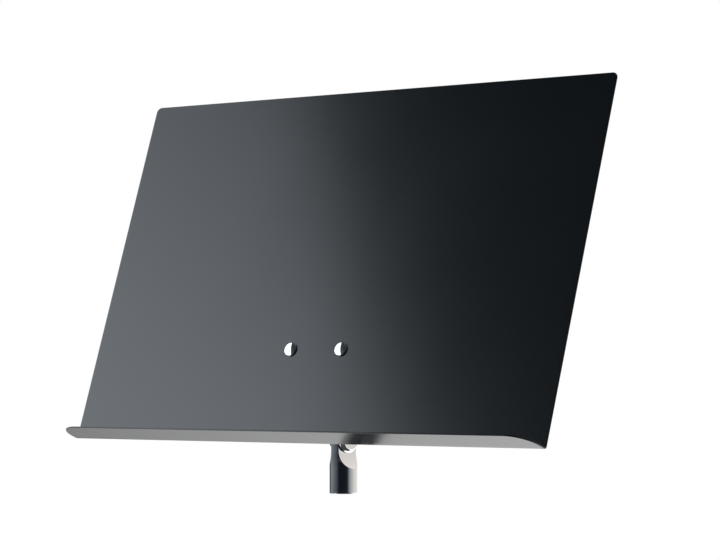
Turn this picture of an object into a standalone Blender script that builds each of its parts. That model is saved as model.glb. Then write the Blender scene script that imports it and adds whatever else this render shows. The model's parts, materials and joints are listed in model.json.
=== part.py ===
"""Music desk: the head of a music stand, with a friction tilt joint on a socket post.

Frame: +Z up the post, -Y towards the player, +X to the right as the player sees it.
The origin is the centre of the socket's mouth. Metres throughout.
Desk frame: its origin is the tilt axis, +Z runs up the desk and +Y points behind it.
"""

from math import asin, atan2, cos, pi, radians, sin, sqrt, tan

import bmesh
import bpy
from mathutils import Matrix, Vector

MM = 0.001
GAP = 0.3 * MM  # air left between pieces that touch
OVERRUN = 1 * MM  # how far a cutter runs past what it cuts

# Desk sheet
DESK_WIDTH = 500 * MM
DESK_HEIGHT = 319 * MM
SHEET = 1.2 * MM
TOP_CORNER_RADIUS = 5 * MM
SHELF_DEPTH = 30 * MM
SHELF_CORNER_RADIUS = 22 * MM
SHELF_CLOSING = radians(2.2)  # how far the shelf is bent past square
BEND_RADIUS = 2.4 * MM  # outside radius of the fold

# Tilt at rest, and where the tilt axis lies from the fold, along world Y and Z
TILT = radians(19.2)
AXIS_BEHIND_FOLD = 64.3 * MM
AXIS_ABOVE_FOLD = 4.2 * MM

# Desk bolts, with the washers and nuts behind the flange
BOLT_SPACING = 54 * MM
BOLT_HEIGHT = 82.7 * MM
BOLT_RADIUS = 2.5 * MM
BOLT_LENGTH = 15 * MM
BOLT_END_CHAMFER = 0.5 * MM
BOLT_HEAD_RADIUS = 6 * MM
BOLT_HEAD_RIM = 0.6 * MM
BOLT_HEAD_SHOULDER = 0.6 * MM
BOLT_HEAD_BALL = 28 * MM  # radius of the head's crown
NECK_SIDE = 5 * MM
NECK_LENGTH = 2.2 * MM
WASHER_RADIUS = 5 * MM
WASHER_THICKNESS = 1 * MM
LOCK_WASHER_RADIUS = 4.6 * MM
LOCK_WASHER_THICKNESS = 1.2 * MM
LOCK_WASHER_SPLIT = 0.7 * MM
LOCK_WASHER_SLANT = radians(25)
NUT_ACROSS = 8 * MM
NUT_HEIGHT = 4 * MM
NUT_CROWN_ANGLE = radians(30)
THREAD_PLAY = 0.25 * MM

# Post: a turned body, waisted into a tongue, with a socket underneath
POST_RADIUS = 11.75 * MM
POST_RIM_CHAMFER = 0.8 * MM
AXIS_HEIGHT = 47.7 * MM
TONGUE_HALF = 4.1 * MM
TONGUE_END_RADIUS = 12.5 * MM
TONGUE_HALF_WIDTH = 12.4 * MM
SWELL_START = 21 * MM  # height at which the round post starts to widen into the tongue
WAIST_HEIGHT = 36.5 * MM
WAIST_RADIUS = 19.5 * MM
SOCKET_RADIUS = 7.3 * MM
SOCKET_DEPTH = 21 * MM
THREAD_RADIUS = 4.4 * MM
INSERT_RECESS = 0.6 * MM
INSERT_LENGTH = 20 * MM

# Bracket: flange, curved arm and fork
FLANGE_THICKNESS = 4 * MM
FLANGE_HALF_LENGTH = 39 * MM
FLANGE_HALF_HEIGHT = 13 * MM
EAR_RADIUS = 13.3 * MM
EAR_OUTER = 8.6 * MM
ARM_CHAMFER = 2.7 * MM
ARM_HALF_MIDDLE = 8.6 * MM
ARM_HALF_FLANGE = 11 * MM
ARM_LEAN = radians(20)  # how far the arm leaves the fork forward of the desk's own up
ARM_REACH = 49 * MM
FORK_DEPTH = 15 * MM

# Tilt axis: bush, friction discs, bolt and spring stack
DISC_THICKNESS = 0.6 * MM
DISC_RADIUS = 10.5 * MM
DISC_HOLE = 3.6 * MM
BUSH_BORE = 3.4 * MM
BUSH_RADIUS = 4.7 * MM
BUSH_SEAT = 5 * MM
BUSH_SINK = 0.2 * MM
PIVOT_RADIUS = 3 * MM
PIVOT_HOLE = 3.3 * MM
PIVOT_PAST_NUT = 1.6 * MM
PIVOT_HEAD_RADIUS = 5.5 * MM
PIVOT_HEAD_DOME = 3.2 * MM
PIVOT_KEY_ACROSS = 4 * MM
PIVOT_KEY_DEPTH = 2.1 * MM
SPRING_RADIUS = 6 * MM
SPRING_SHEET = 0.7 * MM
SPRING_CONE = 0.5 * MM
PIVOT_WASHER = 1.2 * MM
PIVOT_NUT_ACROSS = 10 * MM
PIVOT_NUT_HEIGHT = 6 * MM
LOCK_RING_INNER = 3.2 * MM
LOCK_RING_RADIUS = 4 * MM
LOCK_RING_LENGTH = 1.6 * MM
LOCK_RING_PLAY = 0.2 * MM

FINE, ROUND, SMALL = 56, 40, 24  # sides of a large, a middling and a small circle
SWELL_STEPS = 6

# Derived places
AXIS_UP_DESK = AXIS_BEHIND_FOLD * sin(TILT) + AXIS_ABOVE_FOLD * cos(TILT)
AXIS_BEHIND_DESK = AXIS_BEHIND_FOLD * cos(TILT) - AXIS_ABOVE_FOLD * sin(TILT)
FLANGE_FRONT = SHEET + GAP - AXIS_BEHIND_DESK
FLANGE_BACK = FLANGE_FRONT + FLANGE_THICKNESS
BOLT_Z = BOLT_HEIGHT - AXIS_UP_DESK
EAR_INNER = TONGUE_HALF + 2 * GAP + DISC_THICKNESS
SPRING_HEIGHT = SPRING_SHEET + SPRING_CONE
STACK_END = EAR_OUTER + 4 * GAP + 2 * SPRING_HEIGHT + PIVOT_WASHER + PIVOT_NUT_HEIGHT

ALONG_X = Matrix.Rotation(pi / 2, 4, "Y")  # turns a shape's +Z to +X
AGAINST_X = Matrix.Rotation(-pi / 2, 4, "Y")  # turns a shape's +Z to -X
ALONG_Y = Matrix.Rotation(-pi / 2, 4, "X")  # turns a shape's +Z to +Y
SIDE_VIEW = Matrix(((0, 0, 1, 0), (1, 0, 0, 0), (0, 1, 0, 0), (0, 0, 0, 1)))  # XY to YZ


# ---- tools ----


def clear_scene():
    for obj in list(bpy.data.objects):
        bpy.data.objects.remove(obj, do_unlink=True)


def material(name, colour, metallic, roughness):
    made = bpy.data.materials.new(name)
    made.use_nodes = True
    shader = made.node_tree.nodes["Principled BSDF"]
    shader.inputs["Base Color"].default_value = (*colour, 1)
    shader.inputs["Metallic"].default_value = metallic
    shader.inputs["Roughness"].default_value = roughness
    return made


def new_object(name, data):
    obj = bpy.data.objects.new(name, data)
    bpy.context.scene.collection.objects.link(obj)
    return obj


def mesh_from(bm, name, place=None):
    """A mesh from a bmesh, moved into place, with its faces pointing out."""
    if place is not None:
        bm.transform(place)
    bmesh.ops.remove_doubles(bm, verts=bm.verts, dist=1e-7)
    bmesh.ops.recalc_face_normals(bm, faces=bm.faces)
    mesh = bpy.data.meshes.new(name)
    bm.to_mesh(mesh)
    bm.free()
    return mesh


def baked(obj):
    """The object's mesh with its modifiers applied. The object itself is removed."""
    bpy.context.view_layer.update()
    graph = bpy.context.evaluated_depsgraph_get()
    made = bpy.data.meshes.new_from_object(obj.evaluated_get(graph))
    bpy.data.objects.remove(obj, do_unlink=True)
    return made


def combined(mesh, steps):
    """The mesh after Booleans, given as (operation, mesh) in order."""
    base = new_object(mesh.name, mesh)
    helpers = []
    for operation, other in steps:
        helper = new_object(other.name, other)
        helper.hide_render = True
        helper.display_type = "WIRE"
        modifier = base.modifiers.new(operation, "BOOLEAN")
        modifier.operation = operation
        modifier.object = helper
        helpers.append(helper)
    made = baked(base)
    for helper in helpers:
        bpy.data.objects.remove(helper, do_unlink=True)
    return made


def turned(name, profile, sides, place=None):
    """A solid of revolution about Z, from (radius, height) points.

    A profile that doesn't start and end on the axis is closed back to its first point.
    """
    bm = bmesh.new()
    points = [bm.verts.new((r, 0, z)) for r, z in profile]
    loop = points + ([points[0]] if profile[0][0] > 0 else [])
    edges = [bm.edges.new(pair) for pair in zip(loop, loop[1:])]
    around = {"axis": (0, 0, 1), "cent": (0, 0, 0), "angle": 2 * pi, "steps": sides}
    bmesh.ops.spin(bm, geom=points + edges, **around)
    return mesh_from(bm, name, place)


def ring(name, inner, outer, length, sides, place=None):
    profile = [(inner, 0), (outer, 0), (outer, length), (inner, length)]
    return turned(name, profile, sides, place)


def rod(name, radius, length, sides, place=None):
    return turned(name, [(0, 0), (radius, 0), (radius, length), (0, length)], sides, place)


def prism(name, outline, low, high, place=None):
    """An outline in XY, extruded along Z from low to high."""
    bm = bmesh.new()
    face = bm.faces.new([bm.verts.new((x, y, low)) for x, y in outline])
    made = bmesh.ops.extrude_face_region(bm, geom=[face])["geom"]
    moved = [v for v in made if isinstance(v, bmesh.types.BMVert)]
    bmesh.ops.translate(bm, verts=moved, vec=(0, 0, high - low))
    return mesh_from(bm, name, place)


def block(name, lowest, highest, place=None):
    (x0, y0, z0), (x1, y1, z1) = lowest, highest
    return prism(name, [(x0, y0), (x1, y0), (x1, y1), (x0, y1)], z0, z1, place)


def arc(centre, radius, start, end, steps):
    """Points on a circle's arc, both ends included."""
    turns = [start + (end - start) * i / steps for i in range(steps + 1)]
    return [(centre[0] + radius * cos(t), centre[1] + radius * sin(t)) for t in turns]


def hexagon(across):
    return arc((0, 0), across / sqrt(3), 0, 5 * pi / 3, 5)


def dome(radius, height, steps):
    """(radius, height) points of a spherical cap on z = 0, from its crown out to its rim."""
    ball = (radius**2 + height**2) / (2 * height)
    opening = asin(radius / ball)
    angles = [opening * i / steps for i in range(steps + 1)]
    return [(ball * sin(a), height - ball + ball * cos(a)) for a in angles]


def piece(name, mesh, finish, parent, location=(0, 0, 0)):
    """A finished sub-part: smooth where it is round, with its material, under its parent."""
    mesh.materials.clear()
    mesh.materials.append(finish)
    mesh.shade_smooth()
    mesh.set_sharp_from_angle(angle=radians(32))
    obj = new_object(name, mesh)
    obj.parent = parent
    obj.location = location


# ---- desk ----


def sheet_rows():
    """Rows of the sheet's outer surface, as (half width, y, z) with the fold's corner at z = 0.

    They run in along the shelf's underside, round the fold and up the desk's back.
    """
    half = DESK_WIDTH / 2
    rows = []
    for y, x in arc((0, 0), SHELF_CORNER_RADIUS, pi, pi / 2, 8):
        depth = SHELF_DEPTH - SHELF_CORNER_RADIUS - y
        width = half - SHELF_CORNER_RADIUS + x
        rows.append((width, SHEET - depth * cos(SHELF_CLOSING), depth * sin(SHELF_CLOSING)))
    fold_reach = BEND_RADIUS * tan(pi / 4 + SHELF_CLOSING / 2)
    fold = arc((SHEET - BEND_RADIUS, fold_reach), BEND_RADIUS, -pi / 2 - SHELF_CLOSING, 0, 6)
    rows += [(half, y, z) for y, z in fold]
    corner = (half - TOP_CORNER_RADIUS, DESK_HEIGHT - TOP_CORNER_RADIUS)
    rows += [(x, SHEET, z) for x, z in arc(corner, TOP_CORNER_RADIUS, 0, pi / 2, 4)]
    return rows


def desk_panel_mesh():
    """One sheet, folded into the desk and its shelf, with square holes for the bolt necks."""
    bm = bmesh.new()
    rows = []
    for half, y, z in sheet_rows():
        place = (y - AXIS_BEHIND_DESK, z - AXIS_UP_DESK)
        rows.append([bm.verts.new((side * half, *place)) for side in (-1, 1)])
    for (a, b), (c, d) in zip(rows, rows[1:]):
        bm.faces.new((a, b, d, c))
    surface = bpy.data.meshes.new("desk_panel")
    bm.to_mesh(surface)
    bm.free()
    sheet = new_object("desk_sheet", surface)
    wall = sheet.modifiers.new("sheet wall", "SOLIDIFY")
    wall.thickness = SHEET
    wall.offset = 1
    wall.use_even_offset = True
    reach = NECK_SIDE / 2 + GAP
    holes = []
    for side in (-1, 1):
        x = side * BOLT_SPACING / 2
        low = (x - reach, -AXIS_BEHIND_DESK - OVERRUN, BOLT_Z - reach)
        high = (x + reach, -AXIS_BEHIND_DESK + SHEET + OVERRUN, BOLT_Z + reach)
        holes.append(("DIFFERENCE", block("neck_hole", low, high)))
    return combined(baked(sheet), holes)


def desk_bolt_mesh():
    """Low-crowned bolt with a square neck. The head's underside is at y = 0, shank to +Y.

    The crown is a spherical cap, tangent to the torus that rounds the head's shoulder.
    """
    flat = BOLT_HEAD_RADIUS - BOLT_HEAD_SHOULDER
    reach = BOLT_HEAD_BALL - BOLT_HEAD_SHOULDER
    opening = asin(flat / reach)
    centre = reach * cos(opening) - BOLT_HEAD_RIM
    cap = [opening * i / 3 for i in range(3)]
    profile = [(BOLT_HEAD_BALL * sin(a), centre - BOLT_HEAD_BALL * cos(a)) for a in cap]
    profile += arc((flat, -BOLT_HEAD_RIM), BOLT_HEAD_SHOULDER, opening - pi / 2, 0, 5)
    profile += [
        (BOLT_HEAD_RADIUS, 0),
        (BOLT_RADIUS, 0),
        (BOLT_RADIUS, BOLT_LENGTH - BOLT_END_CHAMFER),
        (BOLT_RADIUS - BOLT_END_CHAMFER, BOLT_LENGTH),
        (0, BOLT_LENGTH),
    ]
    half = NECK_SIDE / 2
    neck = block("neck", (-half, -half, -BOLT_HEAD_RIM / 2), (half, half, NECK_LENGTH))
    bolt = combined(turned("desk_bolt", profile, SMALL), [("UNION", neck)])
    bolt.transform(ALONG_Y)
    return bolt


def nut_mesh(name, across, height, bore):
    """Hexagon nut along +Z, its corners turned off by a cone at both ends."""
    corner = across / sqrt(3)
    wide = corner + GAP
    drop = (wide - across / 2) * tan(NUT_CROWN_ANGLE)
    crown = [(0, 0), (across / 2, 0), (wide, drop), (wide, height - drop), (across / 2, height)]
    body = prism(name, hexagon(across), -OVERRUN, height + OVERRUN)
    below = Matrix.Translation((0, 0, -OVERRUN))
    thread = rod("thread", bore, height + 2 * OVERRUN, SMALL, below)
    crowned = ("INTERSECT", turned("crown", crown + [(0, height)], ROUND))
    return combined(body, [crowned, ("DIFFERENCE", thread)])


def lock_washer_mesh():
    """Split spring washer along +Z: a turned ring with a slanted saw cut."""
    inner = BOLT_RADIUS + GAP
    half = LOCK_WASHER_SPLIT / 2
    low = (inner - OVERRUN, -half, -OVERRUN)
    high = (LOCK_WASHER_RADIUS + OVERRUN, half, LOCK_WASHER_THICKNESS + OVERRUN)
    split = block("split", low, high, Matrix.Rotation(LOCK_WASHER_SLANT, 4, "X"))
    whole = ring("lock_washer", inner, LOCK_WASHER_RADIUS, LOCK_WASHER_THICKNESS, SMALL)
    return combined(whole, [("DIFFERENCE", split)])


def build_desk(desk, paint, chrome, zinc):
    """The desk sheet, the bracket, and the bolts that join them."""
    piece("desk_panel", desk_panel_mesh(), paint, desk)
    piece("tilt_bracket", tilt_bracket_mesh(), chrome, desk)
    bolt = desk_bolt_mesh()
    washer = ring("washer", BOLT_RADIUS + GAP, WASHER_RADIUS, WASHER_THICKNESS, SMALL)
    lock_washer = lock_washer_mesh()
    nut = nut_mesh("nut", NUT_ACROSS, NUT_HEIGHT, BOLT_RADIUS + THREAD_PLAY)
    for mesh in (washer, lock_washer, nut):
        mesh.transform(ALONG_Y)
    washer_y = FLANGE_BACK + GAP
    lock_y = washer_y + WASHER_THICKNESS + GAP
    nut_y = lock_y + LOCK_WASHER_THICKNESS + GAP
    for side, sign in (("left", -1), ("right", 1)):
        x = sign * BOLT_SPACING / 2
        head = (x, -AXIS_BEHIND_DESK - GAP, BOLT_Z)
        piece(f"desk_bolt_{side}", bolt.copy(), chrome, desk, head)
        piece(f"flange_washer_{side}", washer.copy(), zinc, desk, (x, washer_y, BOLT_Z))
        piece(f"lock_washer_{side}", lock_washer.copy(), zinc, desk, (x, lock_y, BOLT_Z))
        piece(f"flange_nut_{side}", nut.copy(), zinc, desk, (x, nut_y, BOLT_Z))


# ---- bracket ----


def arm_half(u):
    """Half the arm's height: the ear's radius at the axis, a waist, then a foot at the flange."""
    end = EAR_RADIUS if u < 0.5 else ARM_HALF_FLANGE
    return ARM_HALF_MIDDLE + (end - ARM_HALF_MIDDLE) * (1 + cos(2 * pi * u)) / 2


def arm_outline(steps):
    """Side outline as (y, z): round the ear, out along one edge and back along the other.

    The centre line is a quadratic curve from the tilt axis to the middle of the flange.
    """
    knee = Vector((-sin(ARM_LEAN), cos(ARM_LEAN))) * ARM_REACH
    end = Vector((FLANGE_FRONT + FLANGE_THICKNESS / 2, BOLT_Z))
    front, back = [], []
    for i in range(steps + 1):
        u = i / steps
        point = knee * 2 * u * (1 - u) + end * u**2
        along = (knee * (1 - u) + (end - knee) * u).normalized()
        across = Vector((-along.y, along.x)) * arm_half(u)
        front.append(tuple(point + across))
        back.append(tuple(point - across))
    start = atan2(front[0][1], front[0][0])
    ear = arc((0, 0), EAR_RADIUS, start, start + pi, 18)
    return ear[:-1] + back + front[:0:-1]


def flange_mesh():
    straight = FLANGE_HALF_LENGTH - FLANGE_HALF_HEIGHT
    oval = arc((straight, 0), FLANGE_HALF_HEIGHT, -pi / 2, pi / 2, 14)
    oval += arc((-straight, 0), FLANGE_HALF_HEIGHT, pi / 2, 3 * pi / 2, 14)
    place = Matrix.Translation((0, FLANGE_FRONT, BOLT_Z)) @ ALONG_Y
    return prism("flange", oval, 0, FLANGE_THICKNESS, place)


def tilt_bracket_mesh():
    """One casting: a flange on the desk's back, a curved arm, and a fork round the tongue."""
    arm = new_object("arm", prism("arm", arm_outline(14), -EAR_OUTER, EAR_OUTER, SIDE_VIEW))
    chamfer = arm.modifiers.new("chamfer", "BEVEL")
    chamfer.width = ARM_CHAMFER
    chamfer.segments = 1
    chamfer.limit_method = "ANGLE"
    chamfer.angle_limit = radians(60)
    far = 2 * FLANGE_HALF_LENGTH
    in_front = block("in_front", (-far, FLANGE_FRONT - far, 0), (far, FLANGE_FRONT, far))
    around = EAR_RADIUS + ARM_HALF_MIDDLE
    lean = Matrix.Rotation(ARM_LEAN, 4, "X")
    slot = block("slot", (-EAR_INNER, -around, -around), (EAR_INNER, around, FORK_DEPTH), lean)
    through = Matrix.Translation((-2 * EAR_OUTER, 0, 0)) @ ALONG_X
    axle_hole = rod("axle_hole", PIVOT_HOLE, 4 * EAR_OUTER, SMALL, through)
    steps = [("DIFFERENCE", in_front), ("UNION", flange_mesh())]
    steps += [("DIFFERENCE", slot), ("DIFFERENCE", axle_hole)]
    for sign in (-1, 1):
        start = (sign * BOLT_SPACING / 2, FLANGE_FRONT - OVERRUN, BOLT_Z)
        clear_of_neck = NECK_SIDE / sqrt(2) + GAP
        depth = FLANGE_THICKNESS + 2 * OVERRUN
        place = Matrix.Translation(start) @ ALONG_Y
        steps.append(("DIFFERENCE", rod("bolt_hole", clear_of_neck, depth, SMALL, place)))
    return combined(baked(arm), steps)


# ---- tilt axis ----


def pivot_bolt_mesh():
    """Button-head bolt along X, its head at +X with a hexagon key hole."""
    seat = EAR_OUTER + GAP
    end = -STACK_END - PIVOT_PAST_NUT
    crown = [(r, seat + z) for r, z in dome(PIVOT_HEAD_RADIUS, PIVOT_HEAD_DOME, 5)]
    profile = [
        (0, end),
        (PIVOT_RADIUS - BOLT_END_CHAMFER, end),
        (PIVOT_RADIUS, end + BOLT_END_CHAMFER),
        (PIVOT_RADIUS, seat),
        *reversed(crown),
    ]
    top = seat + PIVOT_HEAD_DOME
    key = prism("key", hexagon(PIVOT_KEY_ACROSS), top - PIVOT_KEY_DEPTH, top + OVERRUN, ALONG_X)
    return combined(turned("pivot_bolt", profile, SMALL, ALONG_X), [("DIFFERENCE", key)])


def disc_spring_mesh():
    """Shallow conical spring washer along +Z, wide end at the bottom."""
    profile = [
        (PIVOT_HOLE, SPRING_CONE),
        (SPRING_RADIUS, 0),
        (SPRING_RADIUS, SPRING_SHEET),
        (PIVOT_HOLE, SPRING_HEIGHT),
    ]
    return turned("disc_spring", profile, SMALL)


def pivot_nut_mesh():
    """Lock nut along +Z, its far end bored out for the nylon ring."""
    nut = nut_mesh("pivot_nut", PIVOT_NUT_ACROSS, PIVOT_NUT_HEIGHT, PIVOT_HOLE)
    depth = LOCK_RING_LENGTH + GAP
    place = Matrix.Translation((0, 0, PIVOT_NUT_HEIGHT - depth))
    seat = rod("ring_seat", LOCK_RING_RADIUS + LOCK_RING_PLAY, depth + OVERRUN, SMALL, place)
    return combined(nut, [("DIFFERENCE", seat)])


def build_tilt_axis(desk, post, zinc, nylon, fibre, bronze):
    """Everything on the tilt axis: discs beside the tongue, the bush in it, the stack at -X."""
    piece("pivot_bolt", pivot_bolt_mesh(), zinc, desk)
    disc = ring("friction_disc", DISC_HOLE, DISC_RADIUS, DISC_THICKNESS, ROUND, ALONG_X)
    beside = TONGUE_HALF + GAP
    piece("friction_disc_right", disc.copy(), fibre, desk, (beside, 0, 0))
    piece("friction_disc_left", disc.copy(), fibre, desk, (-beside - DISC_THICKNESS, 0, 0))
    half = TONGUE_HALF - BUSH_SINK
    bush = ring("pivot_bush", BUSH_BORE, BUSH_RADIUS, 2 * half, ROUND, ALONG_X)
    piece("pivot_bush", bush, bronze, post, (-half, 0, AXIS_HEIGHT))

    # The two springs meet at their rims, like a pair of saucers
    spring = disc_spring_mesh()
    x = -EAR_OUTER - GAP - SPRING_HEIGHT
    inner_spring = spring.copy()
    inner_spring.transform(ALONG_X)
    piece("disc_spring_inner", inner_spring, zinc, desk, (x, 0, 0))
    x -= GAP
    outer_spring = spring.copy()
    outer_spring.transform(AGAINST_X)
    piece("disc_spring_outer", outer_spring, zinc, desk, (x, 0, 0))
    x -= SPRING_HEIGHT + GAP
    washer = ring("pivot_washer", PIVOT_HOLE, SPRING_RADIUS, PIVOT_WASHER, SMALL, AGAINST_X)
    piece("pivot_washer", washer, zinc, desk, (x, 0, 0))
    x -= PIVOT_WASHER + GAP
    nut = pivot_nut_mesh()
    nut.transform(AGAINST_X)
    piece("pivot_nut", nut, zinc, desk, (x, 0, 0))
    x -= PIVOT_NUT_HEIGHT - LOCK_RING_LENGTH
    lock = ring(
        "pivot_nut_ring", LOCK_RING_INNER, LOCK_RING_RADIUS, LOCK_RING_LENGTH, SMALL, AGAINST_X
    )
    piece("pivot_nut_ring", lock, nylon, desk, (x, 0, 0))


# ---- post ----


def waist_cutter(sign, top):
    """What comes off one side: a round run-out below the waist, and a flat above it."""
    centre = TONGUE_HALF + WAIST_RADIUS
    run_out = arc((centre, WAIST_HEIGHT), WAIST_RADIUS, -pi, 0, 28)
    outline = run_out + [(centre + WAIST_RADIUS, top), (TONGUE_HALF, top)]
    wide = 2 * POST_RADIUS
    mirrored = [(sign * x, z) for x, z in outline]
    return prism("waist", mirrored, -wide, wide, Matrix.Rotation(pi / 2, 4, "X"))


def socket_post_mesh():
    """Round post with a socket underneath, its top cut to a tongue by two round waists.

    The post widens a little from front to back as it thins into the tongue.
    """
    top = AXIS_HEIGHT + TONGUE_END_RADIUS + OVERRUN
    rim = POST_RADIUS - POST_RIM_CHAMFER
    profile = [(0, 0)]
    profile += arc((rim, POST_RIM_CHAMFER), POST_RIM_CHAMFER, -pi / 2, 0, 3)
    for i in range(SWELL_STEPS + 1):
        share = i / SWELL_STEPS
        swell = (TONGUE_HALF_WIDTH - POST_RADIUS) * (1 - cos(pi * share)) / 2
        profile.append((POST_RADIUS + swell, SWELL_START + (WAIST_HEIGHT - SWELL_START) * share))
    profile += [(TONGUE_HALF_WIDTH, top), (0, top)]
    wide = TONGUE_END_RADIUS + OVERRUN
    outline = [(-wide, AXIS_HEIGHT), (-wide, -OVERRUN), (wide, -OVERRUN), (wide, AXIS_HEIGHT)]
    outline += arc((0, AXIS_HEIGHT), TONGUE_END_RADIUS, 0, pi, 28)
    rounded_top = prism("rounded_top", outline, -2 * POST_RADIUS, 2 * POST_RADIUS, SIDE_VIEW)
    below = Matrix.Translation((0, 0, -OVERRUN))
    across = Matrix.Translation((-2 * TONGUE_HALF, 0, AXIS_HEIGHT)) @ ALONG_X
    steps = [
        ("INTERSECT", rounded_top),
        ("DIFFERENCE", waist_cutter(-1, top + OVERRUN)),
        ("DIFFERENCE", waist_cutter(1, top + OVERRUN)),
        ("DIFFERENCE", rod("socket", SOCKET_RADIUS, SOCKET_DEPTH + OVERRUN, ROUND, below)),
        ("DIFFERENCE", rod("bush_seat", BUSH_SEAT, 4 * TONGUE_HALF, ROUND, across)),
    ]
    return combined(turned("socket_post", profile, FINE), steps)


def build_post(post, chrome, zinc):
    piece("socket_post", socket_post_mesh(), chrome, post)
    insert = ring("thread_insert", THREAD_RADIUS, SOCKET_RADIUS - GAP, INSERT_LENGTH, ROUND)
    piece("thread_insert", insert, zinc, post, (0, 0, INSERT_RECESS))


def build():
    clear_scene()
    paint = material("black_paint", (0.012, 0.013, 0.014), 0.0, 0.2)
    chrome = material("chrome", (0.80, 0.80, 0.81), 1.0, 0.06)
    zinc = material("zinc_steel", (0.62, 0.63, 0.64), 1.0, 0.3)
    nylon = material("nylon", (0.75, 0.78, 0.8), 0.0, 0.45)
    fibre = material("friction_fibre", (0.16, 0.07, 0.04), 0.0, 0.8)
    bronze = material("bronze", (0.55, 0.36, 0.16), 1.0, 0.35)
    post = new_object("post_frame", None)
    desk = new_object("tilt_axis", None)
    desk.location = (0, 0, AXIS_HEIGHT)
    desk.rotation_euler = (-TILT, 0, 0)
    build_desk(desk, paint, chrome, zinc)
    build_tilt_axis(desk, post, zinc, nylon, fibre, bronze)
    build_post(post, chrome, zinc)


build()
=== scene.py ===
"""Looks of the music desk: folded sheet, cast bracket, turned post and their fasteners.

Desk frame: its origin is the tilt axis, +Z runs up the desk and +Y points behind it.
"""

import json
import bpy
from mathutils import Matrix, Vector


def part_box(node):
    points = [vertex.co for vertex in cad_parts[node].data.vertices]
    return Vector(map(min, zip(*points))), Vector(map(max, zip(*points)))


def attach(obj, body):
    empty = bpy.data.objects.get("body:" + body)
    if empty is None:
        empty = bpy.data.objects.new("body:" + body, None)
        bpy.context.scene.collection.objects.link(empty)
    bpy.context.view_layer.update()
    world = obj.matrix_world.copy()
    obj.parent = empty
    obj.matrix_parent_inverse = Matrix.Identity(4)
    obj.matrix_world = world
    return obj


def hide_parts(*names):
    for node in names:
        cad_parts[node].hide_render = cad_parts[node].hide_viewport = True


bl_info = {
    "name": "Music desk",
    "version": (1, 0, 0),
    "blender": (4, 5, 0),
    "location": "3D View > Sidebar > Music desk",
    "description": "Builds a sheet-metal music desk on a friction tilt joint",
    "category": "Add Mesh",
}

from math import asin, atan2, cos, pi, radians, sin, sqrt, tan

import bmesh
import bpy
import numpy as np
from mathutils import Matrix, Vector

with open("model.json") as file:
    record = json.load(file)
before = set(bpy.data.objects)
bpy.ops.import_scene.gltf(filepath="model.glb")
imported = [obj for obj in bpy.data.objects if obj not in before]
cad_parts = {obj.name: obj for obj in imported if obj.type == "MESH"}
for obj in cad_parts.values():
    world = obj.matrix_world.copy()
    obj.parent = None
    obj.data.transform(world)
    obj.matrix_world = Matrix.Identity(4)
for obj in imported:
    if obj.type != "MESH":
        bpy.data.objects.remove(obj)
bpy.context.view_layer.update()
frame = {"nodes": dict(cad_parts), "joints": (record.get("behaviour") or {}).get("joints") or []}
MM = 0.001
MICRON = 0.000001

# ---- sizes that the frame doesn't hold: radii of what is round, widths across flats ----

NECK, NECK_LENGTH, NECK_PLAY = 5 * MM, 2.2 * MM, 0.3 * MM  # a desk bolt's square neck
NECK_HOLE = 3.84 * MM
BOLT_CROWN = {"rim": 0.6 * MM, "shoulder": 0.6 * MM, "ball": 28 * MM}
BOLT_SHANK, BOLT_PITCH = 2.5 * MM, 0.8 * MM
FLANGE_RADIUS, FLANGE_BORE, LOCK_WASHER = 13 * MM, 2.8 * MM, 4.6 * MM
FLANGE_NUT, FLANGE_NUT_BORE = 8 * MM, 2.75 * MM
PIVOT_HEAD, PIVOT_SHANK, PIVOT_BORE = 3.2 * MM, 3 * MM, 3.3 * MM  # the head's is its height
PIVOT_KEY, PIVOT_KEY_MOUTH, PIVOT_KEY_DEPTH = 4 * MM, 2.35 * MM, 2 * MM
PIVOT_NUT, PIVOT_COLLAR = 10 * MM, 1.9 * MM  # the collar's height holds the nylon ring
SPRING_SHEET, SPRING_EDGE, RING_EDGE = 0.7 * MM, 0.1 * MM, 0.12 * MM
CHEEK, SLOT_DEPTH = 8.6 * MM, 15 * MM  # half the arm's thickness, and the fork's slot
BUSH_SEAT, SOCKET, SOCKET_DEPTH = 5 * MM, 7.3 * MM, 21 * MM
ROD_CREST, ROD_THREAD, ROD_PITCH = 4.4 * MM, 0.75 * MM, 1.5 * MM
OUTER_COLUMNS = (110 * MM, 190 * MM)  # lines of the sheet's grid beyond the bolts

# ---- places taken from the frame ----

TILT_JOINT = frame["joints"][0]
TILT = -radians(TILT_JOINT["range_deg"][0])  # the joint's lower limit is the desk upright
AXIS = Vector(TILT_JOINT["pos_m"])
DESK = Matrix.Translation(AXIS) @ Matrix.Rotation(-TILT, 4, "X")
ALONG_X = Matrix.Rotation(pi / 2, 4, "Y")
AGAINST_X = Matrix.Rotation(-pi / 2, 4, "Y")
ALONG_Y = Matrix.Rotation(-pi / 2, 4, "X")


def points_of(node):
    mesh = frame["nodes"][node].data
    co = np.empty(len(mesh.vertices) * 3, np.float32)
    mesh.vertices.foreach_get("co", co)
    return co.reshape(-1, 3).astype(float)


def desk_box(node):
    """Lowest and highest corner of a CAD node in the desk frame."""
    local = moved(points_of(node), DESK.inverted())
    return local.min(0), local.max(0)


def middle_of(node):
    """Middle of a CAD node in the desk frame."""
    return sum(desk_box(node)) / 2


def moved(points, matrix):
    """Points of any array shape (..., 3) taken through a 4 by 4 matrix."""
    m = np.array(matrix)
    return points @ m[:3, :3].T + m[:3, 3]


# ---- surfaces on grids ----


def lattice(rows, cols):
    """Quads between neighbouring points of a rows by cols grid."""
    index = np.arange(rows * cols).reshape(rows, cols)
    a, b = index[:-1, :-1], index[:-1, 1:]
    c, d = index[1:, 1:], index[1:, :-1]
    return np.stack([a, b, c, d], -1).reshape(-1, 4)


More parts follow.
